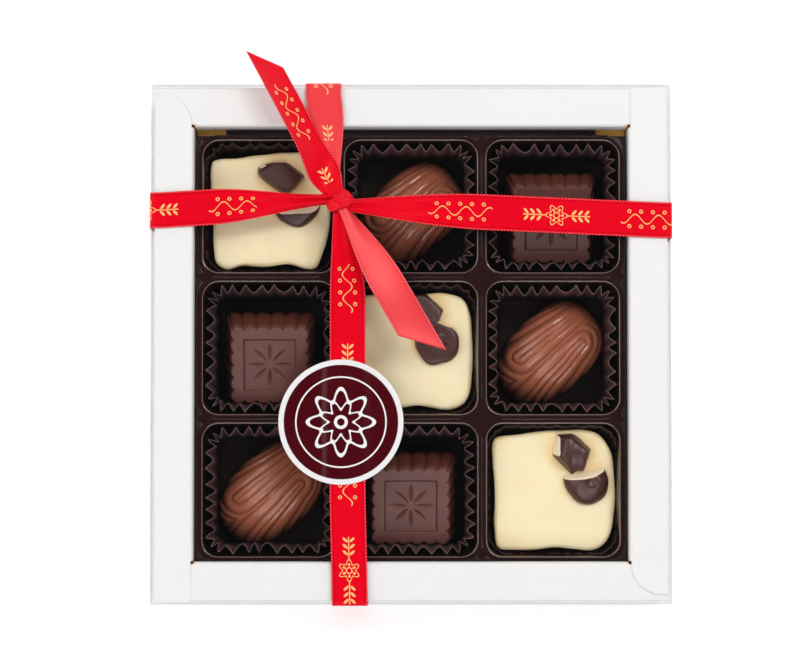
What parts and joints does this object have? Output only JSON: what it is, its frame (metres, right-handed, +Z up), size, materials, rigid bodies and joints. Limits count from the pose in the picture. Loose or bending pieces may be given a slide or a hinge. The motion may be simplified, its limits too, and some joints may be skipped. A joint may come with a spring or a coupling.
{
  "type": "chocolate box",
  "caption": "Square card box with a clear lift-off lid tied with red ribbon and a round seal, holding pralines in fluted paper cups in a formed insert tray.",
  "frame": {"origin": "middle of the card box's underside", "axes": "+Z up through the lid, +X to the right and +Y to the far side, which the loose ribbon end overhangs"},
  "size_m": [0.1466, 0.1555, 0.0385],
  "materials": {
    "white_card": "smooth white coated board",
    "gold_card": "gold-printed reverse of the board",
    "brown_plastic": "thin dark brown formed sheet",
    "brown_paper": "dark brown greaseproof paper, fluted",
    "dark_chocolate": "moulded dark chocolate, satin",
    "milk_chocolate": "moulded milk chocolate, satin",
    "white_chocolate": "white chocolate coating",
    "coated_nut": "nut halves coated in dark chocolate",
    "clear_plastic": "clear folded sheet",
    "red_ribbon": "red satin ribbon with woven edges",
    "seal_paper": "white adhesive paper",
    "seal_foil": "glossy dark maroon print"
  },
  "bodies": {
    "box": {"card_shell": "white_card", "rim_left": "white_card", "rim_right": "white_card", "rim_near": "white_card", "rim_far": "white_card", "corner_tab_left": "gold_card", "corner_tab_right": "gold_card"},
    "tray": {"insert_tray": "brown_plastic", "paper_cup_1": "brown_paper", "paper_cup_2": "brown_paper", "paper_cup_3": "brown_paper", "paper_cup_4": "brown_paper", "paper_cup_5": "brown_paper", "paper_cup_6": "brown_paper", "paper_cup_7": "brown_paper", "paper_cup_8": "brown_paper", "paper_cup_9": "brown_paper"},
    "chocolate_1": {"white_square_1": "white_chocolate", "nut_halves_1": "coated_nut"},
    "chocolate_2": {"milk_oval_2": "milk_chocolate"},
    "chocolate_3": {"dark_square_3": "dark_chocolate"},
    "chocolate_4": {"dark_square_4": "dark_chocolate"},
    "chocolate_5": {"white_square_5": "white_chocolate", "nut_halves_5": "coated_nut"},
    "chocolate_6": {"milk_oval_6": "milk_chocolate"},
    "chocolate_7": {"milk_oval_7": "milk_chocolate"},
    "chocolate_8": {"dark_square_8": "dark_chocolate"},
    "chocolate_9": {"white_square_9": "white_chocolate", "nut_halves_9": "coated_nut"},
    "lid": {"clear_lid": "clear_plastic", "ribbon_right": "red_ribbon", "ribbon_far": "red_ribbon", "ribbon_left": "red_ribbon", "ribbon_near": "red_ribbon", "ribbon_knot": "red_ribbon", "ribbon_tail_upper": "red_ribbon", "ribbon_tail_lower": "red_ribbon", "seal_paper_disc": "seal_paper", "seal_foil_disc": "seal_foil"}
  },
  "joints": [
    {"name": "lid_lift", "type": "slide", "parent": "box", "child": "lid", "axis": [0, 0, 1], "range_m": [0, 0.06]},
    {"name": "tray_lift", "type": "slide", "parent": "box", "child": "tray", "axis": [0, 0, 1], "range_m": [0, 0.0025]},
    {"name": "chocolate_1_lift", "type": "slide", "parent": "tray", "child": "chocolate_1", "axis": [0, 0, 1], "range_m": [0, 0.0025]},
    {"name": "chocolate_2_lift", "type": "slide", "parent": "tray", "child": "chocolate_2", "axis": [0, 0, 1], "range_m": [0, 0.0025]},
    {"name": "chocolate_3_lift", "type": "slide", "parent": "tray", "child": "chocolate_3", "axis": [0, 0, 1], "range_m": [0, 0.0025]},
    {"name": "chocolate_4_lift", "type": "slide", "parent": "tray", "child": "chocolate_4", "axis": [0, 0, 1], "range_m": [0, 0.0025]},
    {"name": "chocolate_5_lift", "type": "slide", "parent": "tray", "child": "chocolate_5", "axis": [0, 0, 1], "range_m": [0, 0.0025]},
    {"name": "chocolate_6_lift", "type": "slide", "parent": "tray", "child": "chocolate_6", "axis": [0, 0, 1], "range_m": [0, 0.0025]},
    {"name": "chocolate_7_lift", "type": "slide", "parent": "tray", "child": "chocolate_7", "axis": [0, 0, 1], "range_m": [0, 0.0025]},
    {"name": "chocolate_8_lift", "type": "slide", "parent": "tray", "child": "chocolate_8", "axis": [0, 0, 1], "range_m": [0, 0.0025]},
    {"name": "chocolate_9_lift", "type": "slide", "parent": "tray", "child": "chocolate_9", "axis": [0, 0, 1], "range_m": [0, 0.0025]}
  ]
}
